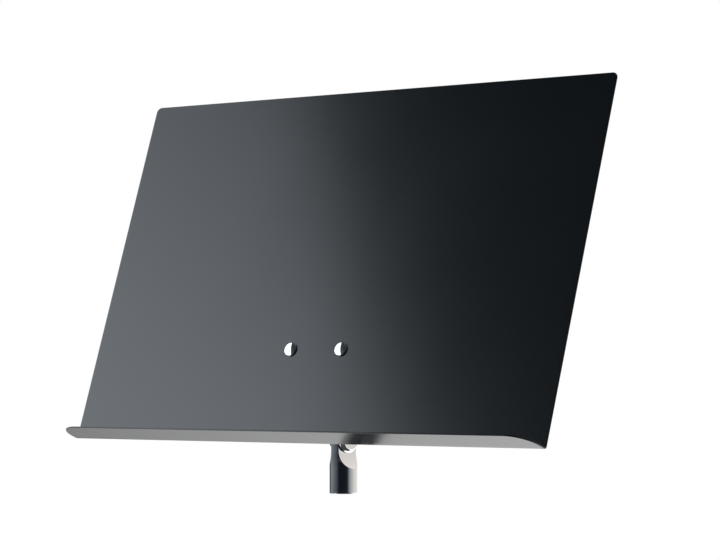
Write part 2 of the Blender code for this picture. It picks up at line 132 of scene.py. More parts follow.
def stitched(surfaces):
    """One (points, quads) pair from several grids of points."""
    points, quads, start = [], [], 0
    for grid in surfaces:
        rows, cols = grid.shape[:2]
        quads.append(lattice(rows, cols) + start)
        points.append(grid.reshape(-1, 3))
        start += rows * cols
    return np.concatenate(points), np.concatenate(quads)


def closed_mesh(name, points, quads, ends=()):
    """A mesh whose seams and poles are merged and whose faces point outwards.

    ends lists loops of point numbers that are each filled with one face.
    """
    mesh = bpy.data.meshes.new(name)
    faces = quads.tolist() + [list(map(int, loop)) for loop in ends]
    mesh.from_pydata(points.tolist(), [], faces)
    bm = bmesh.new()
    bm.from_mesh(mesh)
    bmesh.ops.remove_doubles(bm, verts=bm.verts, dist=2e-7)
    bmesh.ops.dissolve_degenerate(bm, edges=bm.edges, dist=1e-8)
    bmesh.ops.recalc_face_normals(bm, faces=bm.faces)
    bm.to_mesh(mesh)
    bm.free()
    return mesh


def shaded(mesh, sharp_angle):
    mesh.shade_smooth()
    mesh.set_sharp_from_angle(angle=radians(sharp_angle))
    return mesh


def linked(name, data):
    """A new object in the scene."""
    obj = bpy.data.objects.new(name, data)
    bpy.context.scene.collection.objects.link(obj)
    return obj


def cut_and_joined(mesh, steps):
    """The mesh after exact Booleans, given as (operation, mesh) in order."""
    base = linked(mesh.name, mesh)
    helpers = []
    for operation, other in steps:
        helper = linked(other.name, other)
        modifier = base.modifiers.new(operation, "BOOLEAN")
        modifier.operation = operation
        modifier.object = helper
        helpers.append(helper)
    bpy.context.view_layer.update()
    graph = bpy.context.evaluated_depsgraph_get()
    made = bpy.data.meshes.new_from_object(base.evaluated_get(graph))
    for obj in [base, *helpers]:
        bpy.data.objects.remove(obj, do_unlink=True)
    return made


def rounded(corners, steps=5):
    """A profile of (radius, height, fillet) corners, each replaced by its fillet's arc.

    An arc touches both sides of its corner: it starts fillet / tan(half the corner) away.
    """
    made = []
    for i, (r, z, fillet) in enumerate(corners):
        here = np.array((r, z))
        if fillet <= 0 or i in (0, len(corners) - 1):
            made.append(here[None])
            continue
        back = np.array(corners[i - 1][:2]) - here
        ahead = np.array(corners[i + 1][:2]) - here
        back /= np.linalg.norm(back)
        ahead /= np.linalg.norm(ahead)
        half = 0.5 * np.arccos(np.clip(back @ ahead, -1, 1))
        start = here + back * fillet / tan(half)
        middle = (back + ahead) / np.linalg.norm(back + ahead)
        centre = here + middle * fillet / sin(half)
        first = start - centre
        last = here + ahead * fillet / tan(half) - centre
        turn = pi - 2 * half
        side = np.sign(first[0] * last[1] - first[1] * last[0])
        angle = side * np.linspace(0, turn, steps + 1)
        c, s = np.cos(angle), np.sin(angle)
        arc = np.stack([first[0] * c - first[1] * s, first[0] * s + first[1] * c], -1)
        made.append(centre + arc)
    return np.concatenate(made)


def polar(r, angle, z):
    """Points (r cos angle, r sin angle, z)."""
    return np.stack(np.broadcast_arrays(r * np.cos(angle), r * np.sin(angle), z), -1)


def turned_grid(profile, sides):
    """The profile's (radius, height) points turned about Z: a grid of profile by angle."""
    return polar(profile[:, :1], np.linspace(0, 2 * pi, sides + 1), profile[:, 1:])


def shaped_grid(radius, height, sides):
    """Like turned_grid, with the radius a function of the angle on each row."""
    angle = np.linspace(0, 2 * pi, sides + 1)
    return polar(radius(angle), angle, height)


def many_sided(angle, across, count, sharpness=70):
    """Polar radius of a regular polygon with softly rounded corners.

    It is a power mean over the sides of each side's own radius, half across / cos.
    """
    facing = 2 * pi * np.arange(count) / count + pi / count
    reach = np.maximum(np.cos(angle[..., None] - facing), 0)
    return across / 2 / (reach**sharpness).sum(-1) ** (1 / sharpness)


def threaded(crest, depth, pitch, low, high, sides=48, per_turn=8):
    """Grid of a screw thread about Z between two heights.

    Radius is the crest less depth times a triangle wave of (height / pitch - angle / turn),
    and the depth fades to nothing over the last half turn at each end.
    """
    rows = int((high - low) / pitch * per_turn) + 1
    z = np.linspace(low, high, rows)[:, None]
    angle = np.linspace(0, 2 * pi, sides + 1)[None]
    phase = z / pitch - angle / (2 * pi)
    wave = np.abs(2 * (phase % 1) - 1)
    fade = np.clip(np.minimum(z - low, high - z) / (0.5 * pitch), 0, 1)
    return polar(crest - depth * wave * fade, angle, z)


# ---- materials ----


class Graph:
    """Short calls that add nodes to one tree."""

    def __init__(self, tree):
        self.nodes, self.links = tree.nodes, tree.links

    def feed(self, socket, value):
        """Gives a socket a plain value, another socket's, or a node's first output."""
        if isinstance(value, bpy.types.Node):
            value = value.outputs[0]
        if isinstance(value, bpy.types.NodeSocket):
            self.links.new(value, socket)
        else:
            socket.default_value = value

    def add(self, kind, inputs=None, **settings):
        made = self.nodes.new("ShaderNode" + kind)
        for name, value in settings.items():
            setattr(made, name, value)
        for socket, value in (inputs or {}).items():
            self.feed(made.inputs[socket], value)
        return made

    def math(self, operation, *values):
        return self.add("Math", dict(enumerate(values)), operation=operation)

    def ranged(self, value, start, stop, low, high, kind="LINEAR"):
        """The value mapped from start and stop to low and high, and held beyond them."""
        names = ("Value", "From Min", "From Max", "To Min", "To Max")
        inputs = dict(zip(names, (value, start, stop, low, high)))
        return self.add("MapRange", inputs, interpolation_type=kind)


NOISE_RANGE = (0.3, 0.7)  # where nearly all of a noise's values lie


class Recipe(Graph):
    """A material's tree, with the steps that every finish here uses."""

    def __init__(self, name, colour, metallic, roughness):
        self.material = bpy.data.materials.new(name)
        self.material.use_nodes = True
        super().__init__(self.material.node_tree)
        self.shader = self.nodes["Principled BSDF"]
        self.set("Base Color", (*colour, 1))
        self.set("Metallic", metallic)
        self.set("Roughness", roughness)
        self.place = self.add("TexCoord").outputs["Object"]

    def set(self, name, value):
        self.feed(self.shader.inputs[name], value)

    def noise(self, per_metre, detail=2.0, stretch=(1, 1, 1)):
        """Noise with that many features to the metre, stretched along the object's axes."""
        mapping = self.add("Mapping", {"Vector": self.place, "Scale": stretch})
        return self.add("TexNoise", {"Vector": mapping, "Scale": per_metre, "Detail": detail})

    def tinted(self, value, dark, light):
        """A colour between dark and light, put on the shader's base colour."""
        ramp = self.add("ValToRGB", {"Fac": value})
        for element, position, colour in zip(ramp.color_ramp.elements, NOISE_RANGE, (dark, light)):
            element.position = position
            element.color = (*colour, 1)
        self.set("Base Color", ramp)

    def bumped(self, value, depth):
        """Relief of that depth in metres."""
        self.set("Normal", self.add("Bump", {"Height": value, "Distance": depth, "Strength": 1}))

    def rough(self, value, low, high):
        self.set("Roughness", self.ranged(value, *NOISE_RANGE, low, high))


def black_powder_coat(colours):
    """Smooth satin powder coat: fine orange peel, and a sheen that drifts over a hand's width."""
    recipe = Recipe("black_powder_coat", colours.paint, 0.0, colours.paint_roughness)
    rough = colours.paint_roughness
    recipe.rough(recipe.noise(9, 3), rough * 0.94, rough * 1.06)
    dark, light = ([c * share for c in colours.paint] for share in (0.85, 1.15))
    recipe.tinted(recipe.noise(2600, 1), dark, light)
    recipe.bumped(recipe.noise(420, 2), 4 * MICRON)
    return recipe.material


def polished_chrome(colours):
    """Plated and polished steel: near mirror, with faint polishing haze."""
    recipe = Recipe("polished_chrome", colours.chrome, 1.0, 0.05)
    recipe.rough(recipe.noise(160, 4), 0.04, 0.075)
    recipe.bumped(recipe.noise(90, 1), 3 * MICRON)
    return recipe.material


def plated_casting(colours):
    """Chrome over a die casting: brighter haze and the casting's slow waviness."""
    recipe = Recipe("plated_casting", colours.chrome, 1.0, 0.12)
    recipe.rough(recipe.noise(120, 4), 0.09, 0.16)
    recipe.bumped(recipe.noise(70, 2), 20 * MICRON)
    return recipe.material


def zinc_plate(colours):
    """Bright zinc: fine grain, and a blue to straw cast in patches."""
    recipe = Recipe("zinc_plate", colours.zinc, 1.0, 0.3)
    r, g, b = colours.zinc
    blue, straw = (r * 0.9, g * 0.94, b * 1.04), (r * 1.04, g, b * 0.88)
    recipe.tinted(recipe.noise(240, 3), blue, straw)
    recipe.rough(recipe.noise(1500, 4), 0.24, 0.4)
    recipe.bumped(recipe.noise(4000, 2), 4 * MICRON)
    return recipe.material


def natural_nylon(colours):
    """Milky nylon with a little light passing into it."""
    recipe = Recipe("natural_nylon", colours.nylon, 0.0, 0.42)
    recipe.set("Subsurface Weight", 0.25)
    recipe.set("Subsurface Scale", 0.8 * MM)
    recipe.rough(recipe.noise(1800, 2), 0.36, 0.5)
    return recipe.material


def pressed_fibre(colours):
    """Friction fibre: flecked brown, matt."""
    recipe = Recipe("pressed_fibre", colours.fibre, 0.0, 0.85)
    dark = [c * 0.5 for c in colours.fibre]
    light = [min(1, c * 1.9) for c in colours.fibre]
    recipe.tinted(recipe.noise(3000, 5, (1, 1, 0.3)), dark, light)
    recipe.bumped(recipe.noise(3500, 3), 20 * MICRON)
    return recipe.material


def sintered_bronze(colours):
    """Oil-filled bronze: pores show as small dark pits."""
    recipe = Recipe("sintered_bronze", colours.bronze, 1.0, 0.38)
    pores = recipe.noise(6000, 2)
    recipe.tinted(pores, [c * 0.45 for c in colours.bronze], colours.bronze)
    recipe.bumped(pores, 10 * MICRON)
    return recipe.material


FINISHES = {
    "black_paint": black_powder_coat,
    "chrome": polished_chrome,
    "casting": plated_casting,
    "zinc_steel": zinc_plate,
    "nylon": natural_nylon,
    "friction_fibre": pressed_fibre,
    "bronze": sintered_bronze,
}
_made = {}


def finish_named(name):
    if name not in _made:
        _made[name] = FINISHES[name](bpy.context.scene.music_desk_finish)
    return _made[name]


def finished(node, mesh, finish, body):
    """The piece that stands for a CAD node, with its finish, on its body."""
    mesh.materials.clear()
    mesh.materials.append(finish_named(finish))
    obj = linked(f"{node}_finished", mesh)
    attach(obj, body)
    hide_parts(node)
    return obj


def grid_piece(node, surfaces, finish, body, place, sharp_angle=32):
    """A piece made only of grids, taken into its place."""
    points, quads = stitched(surfaces)
    mesh = closed_mesh(node, moved(points, place), quads)
    return finished(node, shaded(mesh, sharp_angle), finish, body)


# ---- settings ----


def a_number(name, description, default, **kind):
    return bpy.props.FloatProperty(name=name, description=description, default=default, **kind)


def a_triple(name, description, default, **kind):
    return bpy.props.FloatVectorProperty(
        name=name, description=description, default=default, **kind
    )


def a_length(*about):
    return a_number(*about, unit="LENGTH")


def an_angle(*about):
    return a_number(*about, subtype="ANGLE")


def a_colour(*about):
    return a_triple(*about, subtype="COLOR")


class MusicDeskSizes(bpy.types.PropertyGroup):
    sheet: a_length("Sheet", "Thickness of the desk's sheet", 1.2 * MM)
    rim: a_length("Rim", "Radius on the sheet's edges", 0.42 * MM)
    bend: a_length("Bend", "Outside radius of the shelf's fold", 2.4 * MM)
    closing: an_angle("Closing", "How far the shelf is bent past square", radians(2.2))
    shelf_corner: a_length("Shelf corner", "Radius of the shelf's corners", 22 * MM)
    top_corner: a_length("Top corner", "Radius of the desk's top corners", 5 * MM)
    arm_lean: an_angle("Arm lean", "The arm's start, forward of the desk's own up", radians(20))
    arm_edge: a_length("Arm edge", "Chamfer on the arm's edges", 2.7 * MM)
    arm_reach: a_length("Arm reach", "From the axis to the arm's knee", 49 * MM)
    arm_waist: a_length("Arm waist", "Half the arm's least height", 8.6 * MM)
    arm_foot: a_length("Arm foot", "Half the arm's height at the flange", 11 * MM)
    foot_fillet: a_length("Foot fillet", "Fillet from arm to flange", 3.5 * MM)
    waist: a_length("Waist", "Radius of the post's run-outs", 19.5 * MM)
    waist_height: a_length("Waist height", "Height of the waist", 36.5 * MM)
    tongue: a_length("Tongue", "Thickness of the post's tongue", 8.2 * MM)
    tongue_width: a_length("Tongue width", "From its front to its back", 24.8 * MM)


class MusicDeskFinish(bpy.types.PropertyGroup):
    paint: a_colour("Paint", "Powder coat", (0.0095, 0.015, 0.020))
    paint_roughness: a_number("Paint roughness", "Sheen of the powder coat", 0.21, subtype="FACTOR")
    chrome: a_colour("Chrome", "Chrome plate", (0.80, 0.80, 0.81))
    zinc: a_colour("Zinc", "Zinc plate", (0.62, 0.63, 0.64))
    nylon: a_colour("Nylon", "Lock nut's ring", (0.75, 0.78, 0.80))
    fibre: a_colour("Fibre", "Friction discs", (0.16, 0.07, 0.04))
    bronze: a_colour("Bronze", "Bush", (0.55, 0.36, 0.16))


class MusicDeskStudio(bpy.types.PropertyGroup):
    focal_length: a_number("Focal length", "Camera lens, in millimetres", 135.3)
    heading: an_angle("Heading", "Camera's turn to the left", radians(38.055))
    pitch: an_angle("Pitch", "Camera's upward tilt", radians(1.813))
    camera_place: a_triple("Camera", "Where it stands", (1.4261, -1.7990, 0.1081), subtype="XYZ")
    floor_depth: a_length("Floor", "Floor's depth below the socket", 1.1)
    floor_left: a_number("Floor, left", "Floor's glow behind the part's left", 0.4)
    floor_right: a_number("Floor, right", "Floor's glow behind the part's right", 2.3)
    ceiling: a_number("Ceiling", "Share of its light that the room's left keeps higher up", 0.3)
    key_light: a_number("Key light", "Brightness at the soft panel's middle", 2.24)
    key_colour: a_colour("Key colour", "Soft panel's colour", (0.93, 1.0, 1.08))
    panel_distance: a_length("Panel distance", "From the desk to the panel", 1.2)
    panel_side: a_length("Panel side", "Place of the panel's right side", -0.0225)
    panel_slant: a_number("Panel slant", "Lean of the panel's right side, as a slope", 0.768)


# ---- desk sheet ----


def fold_lengths(sizes, depth):
    """Where the fold starts and how long it is along the sheet, and its reach.

    The reach is from the corner of the outside faces to the start of the fold.
    """
    reach = sizes.bend * tan(pi / 4 + sizes.closing / 2)
    return depth - reach, (sizes.bend - sizes.sheet / 2) * (pi / 2 + sizes.closing), reach


def sheet_path(s, sizes, back, corner_z, depth):
    """Middle of the sheet at length s from the shelf's free edge: (place, tangent, normal).

    It runs straight along the shelf, round an arc at the fold, then straight up the desk. The
    normal points to the side that the music touches.
    """
    shelf_end, fold, reach = fold_lengths(sizes, depth)
    middle = sizes.bend - sizes.sheet / 2
    centre = np.array((back - sizes.bend, corner_z + reach))
    first = -pi / 2 - sizes.closing
    turn = first + np.clip((s - shelf_end) / middle, 0, -first)
    outward = np.stack([np.cos(turn), np.sin(turn)], -1)
    tangent = np.stack([-np.sin(turn), np.cos(turn)], -1)
    straight = np.minimum(s - shelf_end, 0) + np.maximum(s - shelf_end - fold, 0)
    return centre + middle * outward + straight[:, None] * tangent, tangent, -outward


def quarter_turn(count):
    """Cosine and sine of that many angles from 0 to 90 degrees."""
    angle = np.linspace(0, pi / 2, count)
    return np.cos(angle), np.sin(angle)


def sheet_rows(sizes, depth, height, half, hole_low, hole_high):
    """Rows of the flat pattern: length from the free edge, half width, and the side's outward.

    The outline is drawn in by the rim's radius, so that the rim can round it.
    """
    shelf_end, fold, reach = fold_lengths(sizes, depth)
    full = shelf_end + fold + height - reach
    c, s = quarter_turn(25)
    corner, inner = sizes.shelf_corner, sizes.shelf_corner - sizes.rim
    front = np.stack([corner - inner * c, half - corner + inner * s, s, -c], -1)
    bend = np.linspace(shelf_end, shelf_end + fold, 13)
    plate = shelf_end + fold + np.array([hole_low, hole_high]) - reach
    levels = np.concatenate([bend, [bend[-1] + 2 * MM, bend[-1] + 30 * MM], plate])
    middle = np.stack([levels, 0 * levels + half - sizes.rim, 0 * levels + 1, 0 * levels], -1)
    c, s = quarter_turn(13)
    corner, inner = sizes.top_corner, sizes.top_corner - sizes.rim
    top = np.stack([full - corner + inner * s, half - corner + inner * c, c, s], -1)
    return np.concatenate([front, middle, top])


def sheet_surfaces(sizes):
    """Front, back and rim grids of the folded sheet, with a square hole for each bolt neck."""
    low, high = desk_box("desk_panel")
    half = (high[0] - low[0]) / 2
    back = high[1]
    depth = (back - low[1]) / cos(sizes.closing)
    _, _, reach = fold_lengths(sizes, depth)
    corner_z = low[2] - (reach - sizes.bend)
    height = high[2] - corner_z
    bolt_x, _, bolt_z = middle_of("desk_bolt_right")
    neck = NECK / 2 + NECK_PLAY
    hole = (bolt_z - neck - corner_z, bolt_z + neck - corner_z)
    rows = sheet_rows(sizes, depth, height, half, *hole)
    length, width, side_x, side_s = rows.T
    place, tangent, normal = sheet_path(length, sizes, back, corner_z, depth)

    # Columns: the rim's inner line, a line close inside it, and the holes' sides
    full = half - sizes.rim
    inside = np.array([bolt_x - neck, bolt_x + neck, bolt_x * 2, *OUTER_COLUMNS])
    columns = np.concatenate([[full], [full - 0.8 * MM], inside[::-1]])
    columns = np.concatenate([-columns, [0], columns[::-1]])
    x = np.clip(columns[None] * (width / full)[:, None], -width[:, None], width[:, None])
    near = np.abs(columns) < 2.1 * bolt_x
    x[:, near] = columns[near]
    count = (len(length), len(columns))

    def lifted(offset):
        grid = np.empty((*count, 3))
        grid[..., 0] = x
        grid[..., 1:] = (place + normal * offset)[:, None]
        return grid

    thick = sizes.sheet / 2
    front, behind = lifted(thick), lifted(-thick)
    last = (count[0] - 1, count[1] - 1)
    up = np.arange(count[0])
    over = np.arange(last[1] - 1, 0, -1)
    rim_i = np.concatenate([up, 0 * over + last[0], up[::-1], 0 * over, [0]])
    rim_j = np.concatenate([0 * up + last[1], over, 0 * up, over[::-1], [last[1]]])
    side = np.where(rim_j == last[1], 1, np.where(rim_j == 0, -1, 0))
    out_x = side_x[rim_i] * side
    out_s = np.where(side != 0, side_s[rim_i], np.where(rim_i == 0, -1, 1))
    turn = np.linspace(0, pi / 2, 6)
    out = sizes.rim * np.concatenate([np.sin(turn), np.sin(turn[::-1])])
    lift = thick - sizes.rim + sizes.rim * np.cos(turn)
    lift = np.concatenate([lift, -lift[::-1]])
    edge = np.empty((len(out), len(rim_i), 3))
    edge[..., 0] = x[rim_i, rim_j] + out[:, None] * out_x
    along = out[:, None, None] * out_s[:, None] * tangent[rim_i]
    edge[..., 1:] = place[rim_i] + along + lift[:, None, None] * normal[rim_i]

    # The holes: their cells are left out of both faces, and walls go in
    level = np.flatnonzero(np.isclose(place[:, 1], bolt_z - neck))[0]
    sides = (bolt_x - neck, -bolt_x - neck)
    holes = [int(np.flatnonzero(np.isclose(columns, side))[0]) for side in sides]
    walls = []
    for j in holes:
        loop_i = np.array([level, level, level + 1, level + 1, level])
        loop_j = np.array([j, j + 1, j + 1, j, j])
        walls.append(np.stack([front[loop_i, loop_j], behind[loop_i, loop_j]]))
    return front, behind, edge, walls, level, holes


def build_sheet(sizes):
    front, behind, edge, walls, level, holes = sheet_surfaces(sizes)
    points, quads = stitched([front, behind, edge, *walls])
    rows, cols = front.shape[:2]
    open_cells = [level * (cols - 1) + j for j in holes]
    open_cells += [(rows - 1) * (cols - 1) + cell for cell in open_cells]
    quads = np.delete(quads, open_cells, axis=0)
    mesh = closed_mesh("desk_panel", moved(points, DESK), quads)
    finished("desk_panel", shaded(mesh, 40), "black_paint", "desk")


# ---- fasteners ----


def low_crown(radius, rim, shoulder, ball):
    """Half section of a bolt head, from its crown out to its rim, the underside at z = 0.

    The crown is a sphere's cap, tangent to the torus that rounds the shoulder.
    """
    flat, reach = radius - shoulder, ball - shoulder
    opening = asin(flat / reach)
    centre = reach * cos(opening) - rim
    cap = np.linspace(0, opening, 12)[:-1]
    bend = np.linspace(opening, pi / 2, 9)
    crown = np.stack([ball * np.sin(cap), centre - ball * np.cos(cap)], -1)
    edge = np.stack([flat + shoulder * np.sin(bend), -rim - shoulder * np.cos(bend)], -1)
    return np.concatenate([crown, edge])


def bolt_blank(crown, shank, length, pitch, neck):
    """Crowned head, square neck and threaded shank along +Z, the head's underside at z = 0."""
    radius = crown[-1, 0]
    edge = [(*crown[-1], 0), (radius, 0, 0.15 * MM), (radius - MM, 0, 0)]
    edge = rounded(edge, 4)[1:]
    head_grid = turned_grid(np.concatenate([crown, edge]), 96)
    sides = 96
    levels = np.array([[0], [neck], [neck]])

    def radii(angle):
        square = many_sided(angle[None], NECK, 4, 40)
        return np.concatenate([square, square, 0 * square + shank])

    neck_grid = shaped_grid(radii, levels, sides)
    under = np.stack([head_grid[-1], neck_grid[0]])
    thread = threaded(shank, 0.3 * MM, pitch, neck, length - 0.5 * MM, sides)
    tip = [(shank, length - 0.5 * MM), (shank - 0.5 * MM, length), (0, length)]
    return [head_grid, under, neck_grid, thread, turned_grid(np.array(tip), sides)]


def nut_grids(across, height, bore, collar=0.0):
    """Hexagon nut along +Z, with cones at the ends and a chamfered bore.

    Its outside radius is the lesser of the hexagon's and a cone's that starts at the end face.
    """
    end = 0.95 * across / 2
    deep = (across / sqrt(3) - end) * tan(radians(30))
    hex_top = height - collar
    levels = np.array([np.linspace(0, deep, 9), np.linspace(hex_top - deep, hex_top, 9)])
    levels = levels.reshape(-1, 1)

    def radii(angle):
        cone = end + np.minimum(levels, hex_top - levels) / tan(radians(30))
        return np.minimum(many_sided(angle[None], across, 6), cone)

    outside = shaped_grid(radii, levels, 144)
    top = [(end, hex_top, 0), (bore + 0.3 * MM, hex_top, 0)]
    if collar:
        lip = end - 0.4 * MM
        top[1:1] = [(lip, hex_top, 0), (lip, height, 0.5 * MM)]
        top[3:3] = [(lip - 0.6 * MM, height, 0.1 * MM), (lip - 0.7 * MM, hex_top, 0)]
    inner = [(bore, hex_top - 0.3 * MM, 0), (bore, 0.3 * MM, 0), (bore + 0.3 * MM, 0, 0)]
    return [outside, turned_grid(rounded([*top, *inner, (end, 0, 0)]), 144)]


def ring_section(inner, outer, low, high, edge=RING_EDGE):
    """Closed rectangular section of a ring, with rounded corners."""
    middle = (inner + outer) / 2
    corners = [(middle, low, 0), (outer, low, edge), (outer, high, edge)]
    corners += [(inner, high, edge), (inner, low, edge), (middle, low, 0)]
    return rounded(corners, 3)


def washer_grid(*section):
    """Flat ring between two heights: its section turned about Z."""
    return turned_grid(ring_section(*section), 96)


def split_ring(inner, outer, thickness, gap, rise):
    """Square-section ring carried round a rising circle, cut where its ends would meet.

    The section turns about Z and climbs in proportion to its angle.
    """
    section = ring_section(inner, outer, 0, thickness)
    angle = np.linspace(gap, 2 * pi - gap, 73)[:, None]
    r, z = section[None, :, 0], section[None, :, 1] + rise * angle / (2 * pi)
    ring = polar(r, angle, z)
    middle = ring.mean(1, keepdims=True)
    start = np.stack([ring[0], np.broadcast_to(middle[0], ring[0].shape)])
    end = np.stack([ring[-1], np.broadcast_to(middle[-1], ring[-1].shape)])
    return [ring, start, end]


def on_desk(x, y, z):
    """The place of a fastener that starts at y and points away from the desk's front."""
    return DESK @ Matrix.Translation((x, y, z)) @ ALONG_Y


def build_desk_bolts():
    for side in ("left", "right"):
        low, high = desk_box(f"desk_bolt_{side}")
        x, _, z = (low + high) / 2
        crown = low_crown((high[0] - low[0]) / 2, **BOLT_CROWN)
        underside = low[1] - crown[0, 1]
        grids = bolt_blank(crown, BOLT_SHANK, high[1] - underside, BOLT_PITCH, NECK_LENGTH)
        grid_piece(f"desk_bolt_{side}", grids, "chrome", "desk", on_desk(x, underside, z))

        low, high = desk_box(f"flange_washer_{side}")
        ring = washer_grid(FLANGE_BORE, (high[0] - low[0]) / 2, 0, high[1] - low[1])
        at = on_desk(x, low[1], z)
        grid_piece(f"flange_washer_{side}", [ring], "zinc_steel", "desk", at)

        low, high = desk_box(f"lock_washer_{side}")
        rise = 0.15 * MM
        thickness = high[1] - low[1] - rise
        grids = split_ring(FLANGE_BORE, LOCK_WASHER, thickness, radians(5), rise)
        grid_piece(f"lock_washer_{side}", grids, "zinc_steel", "desk", on_desk(x, low[1], z))

        low, high = desk_box(f"flange_nut_{side}")
        grids = nut_grids(FLANGE_NUT, high[1] - low[1], FLANGE_NUT_BORE)
        grid_piece(f"flange_nut_{side}", grids, "zinc_steel", "desk", on_desk(x, low[1], z), 25)


def pivot_bolt_grids(seat, radius, dome, shank, end):
    """Button head with a hexagon recess at high z, plain shank, and a thread at its low end."""
    ball = (radius**2 + dome**2) / (2 * dome)
    mouth = PIVOT_KEY_MOUTH
    a = np.linspace(asin(mouth / ball), asin(radius / ball), 18)
    crown = np.stack([ball * np.sin(a), seat + dome - ball * (1 - np.cos(a))], -1)
    under = [(radius, seat, 0), (shank, seat, 0), (shank, end / 3, 0)]
    sides = 96
    outside = turned_grid(np.concatenate([crown, np.array([c[:2] for c in under])]), sides)
    top, floor = crown[0, 1], crown[0, 1] - PIVOT_KEY_DEPTH
    levels = np.array([[top], [top - 0.25 * MM], [floor]])

    def radii(angle):
        key = many_sided(angle[None], PIVOT_KEY, 6, 90)
        return np.concatenate([0 * key + mouth, np.minimum(key, mouth), np.minimum(key, mouth)])

    recess = shaped_grid(radii, levels, sides)
    point = np.zeros_like(recess[-1]) + (0, 0, floor - 0.7 * MM)
    bottom = np.stack([recess[-1], point])
    thread = threaded(shank, 0.35 * MM, MM, end + 0.6 * MM, end / 3, sides)
    tip = [(shank, end + 0.6 * MM), (shank - 0.6 * MM, end), (0, end)]
    return [outside, recess, bottom, thread, turned_grid(np.array(tip), sides)]


def axis_ring(node, bore, finish, body="desk", edge=RING_EDGE, inset=0.0):
    """A ring on the tilt axis, as thick as its CAD node, and as wide less the inset."""
    low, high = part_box(node)
    ring = washer_grid(bore, (high.y - low.y) / 2 - inset, low.x, high.x, edge)
    grid_piece(node, [ring], finish, body, Matrix.Translation(AXIS) @ ALONG_X)


def build_tilt_axis():
    """Everything along the tilt axis. All but the bush rides with the desk."""
    low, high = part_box("pivot_bolt")
    seat = high.x - PIVOT_HEAD
    grids = pivot_bolt_grids(seat, (high.y - low.y) / 2, PIVOT_HEAD, PIVOT_SHANK, low.x)
    on_axis = Matrix.Translation(AXIS)
    grid_piece("pivot_bolt", grids, "zinc_steel", "desk", on_axis @ ALONG_X, 28)
    for side in ("left", "right"):
        axis_ring(f"friction_disc_{side}", 3.6 * MM, "friction_fibre", edge=0.06 * MM)
    axis_ring("pivot_bush", 3.4 * MM, "bronze", "post", 0.3 * MM)

    for node, direction in (("disc_spring_inner", ALONG_X), ("disc_spring_outer", AGAINST_X)):
        low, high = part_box(node)
        start = low.x if direction is ALONG_X else high.x
        wide, tall = (high.y - low.y) / 2, high.x - low.x
        cone = tall - SPRING_SHEET
        middle = ((wide + PIVOT_BORE) / 2, cone / 2, 0)
        corners = [(wide, 0), (wide, SPRING_SHEET), (PIVOT_BORE, tall), (PIVOT_BORE, cone)]
        section = [middle, *((r, z, SPRING_EDGE) for r, z in corners), middle]
        at = on_axis @ Matrix.Translation((start, 0, 0)) @ direction
        grid_piece(node, [turned_grid(rounded(section, 3), 96)], "zinc_steel", "desk", at)

    axis_ring("pivot_washer", PIVOT_BORE, "zinc_steel")
    low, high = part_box("pivot_nut")
    at = on_axis @ Matrix.Translation((high.x, 0, 0)) @ AGAINST_X
    grids = nut_grids(PIVOT_NUT, high.x - low.x, PIVOT_BORE, PIVOT_COLLAR)
    grid_piece("pivot_nut", grids, "zinc_steel", "desk", at, 25)
    axis_ring("pivot_nut_ring", 3.1 * MM, "nylon", edge=0.25 * MM, inset=0.15 * MM)


# ---- bracket ----


def half_loop(half, thick, chamfer, ease=0.45 * MM):
    """From the middle of one cheek round the edge to the middle of the other.

    A straight chamfer at each corner, with an arc of radius ease where it meets cheek and
    edge. The result is (row, point, (distance from the centre line, x)).
    """
    first, second = np.linspace(0, pi / 4, 5), np.linspace(pi / 4, pi / 2, 5)
    inset = ease * tan(pi / 8)
    half = half[:, None]
    whole = 0 * half
    cheek = (half - chamfer - inset) * np.array([0.0, 0.35, 0.7, 0.93])
    q = [
        cheek,
        half - chamfer - inset + ease * np.sin(first),
        half - ease + ease * np.sin(second),
        half + 0 * np.array([0.0, 1.0]),
    ]
    x = [
        whole + thick + 0 * cheek[:1],
        whole + thick - ease + ease * np.cos(first),
        whole + thick - chamfer - inset + ease * np.cos(second),
        whole + (thick - chamfer) * np.array([0.7, 0.35]),
    ]
    q, x = np.concatenate(q, 1), np.concatenate(x, 1)
    q = np.concatenate([q, half, q[:, ::-1]], 1)
    x = np.concatenate([-x, whole, x[:, ::-1]], 1)
    return np.stack([q, x], -1)


